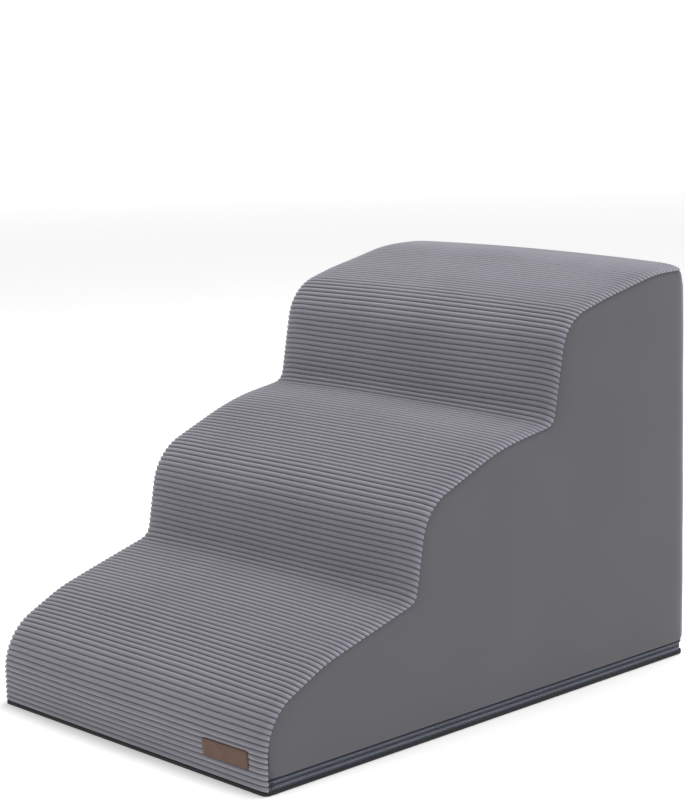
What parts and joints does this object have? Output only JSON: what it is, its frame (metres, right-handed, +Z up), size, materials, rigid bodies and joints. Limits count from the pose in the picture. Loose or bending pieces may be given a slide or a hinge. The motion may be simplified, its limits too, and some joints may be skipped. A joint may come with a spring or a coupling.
{
  "type": "dog ramp",
  "caption": "Curved foam dog ramp with three sloping steps, in a ribbed cloth cover that unzips round its foot.",
  "frame": {"origin": "centre of the base, on the floor", "axes": "+Z up, +Y the way the dog climbs, so the low front faces -Y, +X to the climbing dog's right"},
  "size_m": [0.4, 0.6, 0.415],
  "materials": {
    "corduroy": "grey wide-wale corduroy with a faint violet cast, wales about 5.5 mm apart, soft short pile",
    "side_cloth": "smooth mid-grey short-pile cloth",
    "base_cloth": "black anti-slip cloth with small rubber grip dots",
    "zip_tape": "dark slate-blue woven zip tape",
    "zip_coil": "dark slate nylon coil",
    "zip_metal": "dark painted cast zinc, slightly worn on its edges",
    "leather": "plain brown leather with cut edges, no marking",
    "firm_foam": "cream open-cell foam",
    "soft_foam": "off-white soft foam"
  },
  "bodies": {
    "cover": {"tread_panel": "corduroy", "side_and_back_panel": "side_cloth", "label": "leather", "foam_core": "firm_foam", "comfort_layer": "soft_foam", "zip_tape_upper": "zip_tape", "zip_coil_upper": "zip_coil", "zip_stops_upper": "zip_metal"},
    "base_flap": {"base_panel": "base_cloth", "zip_tape_lower": "zip_tape", "zip_coil_lower": "zip_coil", "zip_stops_lower": "zip_metal"},
    "slider": {"zip_slider": "zip_metal"},
    "pull": {"zip_pull": "zip_metal"}
  },
  "joints": [
    {"name": "zip_slide", "type": "slide", "parent": "cover", "child": "slider", "axis": [0, 1, 0], "range_m": [0, 0.56]},
    {"name": "pull_swing", "type": "hinge", "parent": "slider", "child": "pull", "pos_m": [-0.19905, -0.2805, 0.0088], "axis": [0, 0, 1], "range_deg": [0, 170]},
    {"name": "flap_open", "type": "hinge", "parent": "cover", "child": "base_flap", "pos_m": [0, -0.299, 0.0009], "axis": [-1, 0, 0], "range_deg": [0, 90]}
  ]
}
